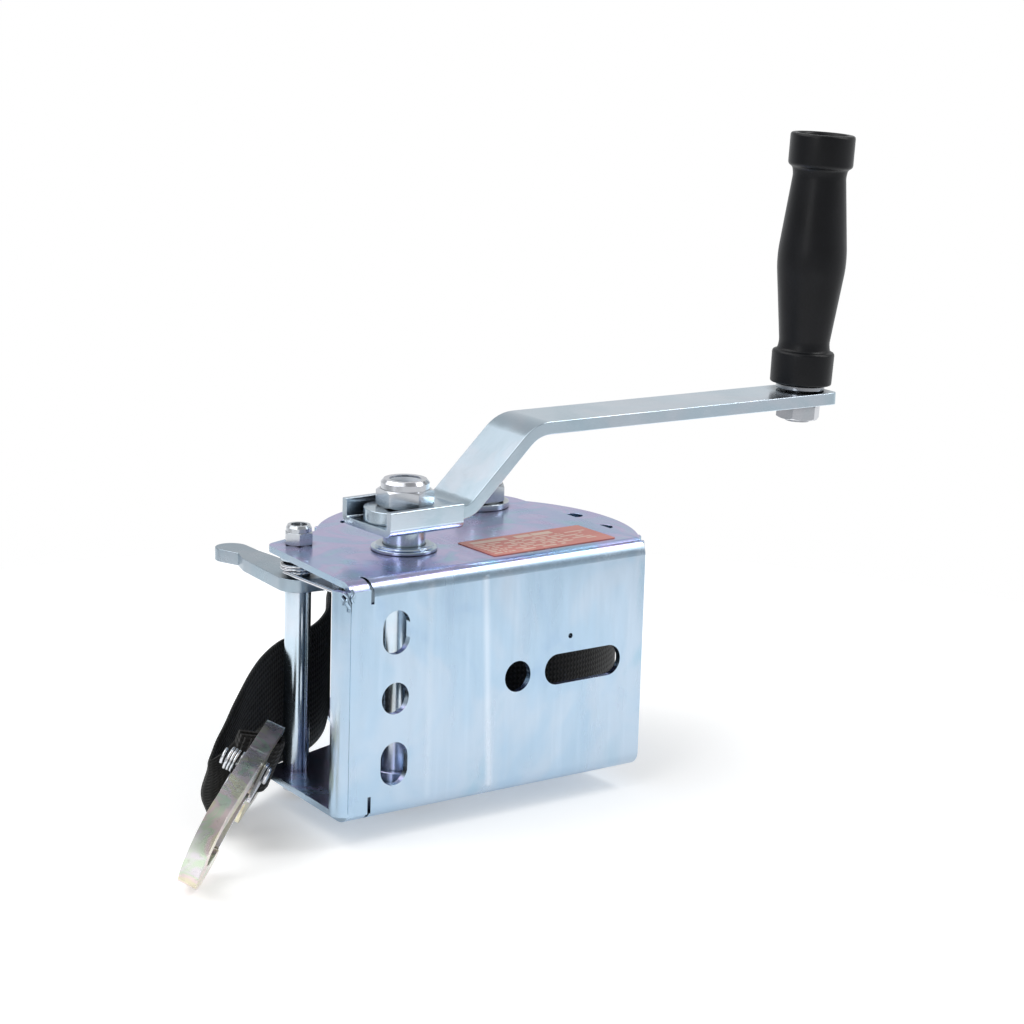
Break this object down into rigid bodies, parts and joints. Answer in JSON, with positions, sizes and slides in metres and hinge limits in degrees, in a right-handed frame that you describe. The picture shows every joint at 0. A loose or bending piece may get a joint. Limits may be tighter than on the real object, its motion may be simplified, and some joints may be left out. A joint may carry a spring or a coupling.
{
  "type": "boat trailer winch",
  "caption": "Hand winch with a cranked handle, spur gear reduction, ratchet pawl, webbing strap and snap hook on a bent sheet frame with slotted mounting holes.",
  "frame": {"origin": "centre of the base plate's flat mounting face, the face that bolts to the winch post", "axes": "+Y from the mounting face into the winch, +X along the base towards the drum, +Z along the drum and drive axes, up as the winch lies on its side"},
  "size_m": [0.3424, 0.1699, 0.2474],
  "materials": {
    "zinc": "bright blue-white zinc plate",
    "gear_zinc": "zinc-plated gear steel",
    "fastener": "bright zinc-plated fasteners",
    "gold_zinc": "yellow passivated zinc on forged steel",
    "black_plastic": "satin moulded plastic",
    "webbing": "woven polyester webbing",
    "bronze": "sintered bronze",
    "label": "printed film with plain bars"
  },
  "bodies": {
    "frame": {"frame": "zinc", "upper_bush": "zinc", "lower_bush": "zinc", "label": "label", "axle_bolt": "fastener", "axle_sleeve": "zinc", "axle_washer": "fastener", "axle_nut": "fastener", "stud_bolt": "fastener", "stud_washer": "fastener", "stud_tube": "zinc", "pawl_bush": "zinc", "stud_nut": "fastener", "strap_tail": "webbing", "strap_eye": "webbing"},
    "crank": {"drive_shaft": "zinc", "pinion": "gear_zinc", "shaft_clip": "fastener", "crank_bracket": "zinc", "crank_arm": "zinc", "crank_nut": "fastener", "grip_bolt": "fastener", "grip_nut": "fastener", "grip_washer": "fastener"},
    "grip": {"grip": "black_plastic"},
    "drum": {"drum_gear": "gear_zinc", "drum_hub": "zinc", "drum_bush": "bronze", "drum_flange": "zinc", "strap_pin": "zinc", "strap_roll": "webbing"},
    "pawl": {"pawl": "gear_zinc", "pawl_spring": "fastener"},
    "hook": {"hook_body": "gold_zinc", "latch_rivet": "fastener", "latch_spring": "fastener"},
    "latch": {"hook_latch": "fastener"}
  },
  "joints": [
    {"name": "drum_spin", "type": "hinge", "parent": "frame", "child": "drum", "pos_m": [0.04871, 0.07982, 0], "axis": [0, 0, 1], "continuous": true},
    {"name": "crank_spin", "type": "hinge", "parent": "frame", "child": "crank", "pos_m": [-0.019, 0.035, 0], "axis": [0, 0, 1], "continuous": true},
    {"name": "grip_spin", "type": "hinge", "parent": "crank", "child": "grip", "pos_m": [0.178, 0.035, 0.0913], "axis": [0.0558, 0, 0.9984], "continuous": true},
    {"name": "pawl_swing", "type": "hinge", "parent": "frame", "child": "pawl", "pos_m": [-0.0485, 0.062, 0.0309], "axis": [0, 0, 1], "range_deg": [0, 26], "stiffness_Nm_per_rad": 0.03, "springref_deg": -34.38},
    {"name": "hook_swing", "type": "hinge", "parent": "frame", "child": "hook", "pos_m": [-0.083, 0.0325, -0.026], "axis": [-0.122, 0.3883, -0.9134], "range_deg": [-40, 3]},
    {"name": "latch_swing", "type": "hinge", "parent": "hook", "child": "latch", "pos_m": [-0.09605, 0.01812, -0.02325], "axis": [-0.6522, 0.6623, 0.3687], "range_deg": [0, 13], "stiffness_Nm_per_rad": 0.01, "springref_deg": -45.84}
  ],
  "couplings": [
    {"joint": "crank_spin", "follows": "drum_spin", "ratio": -4.0909}
  ]
}
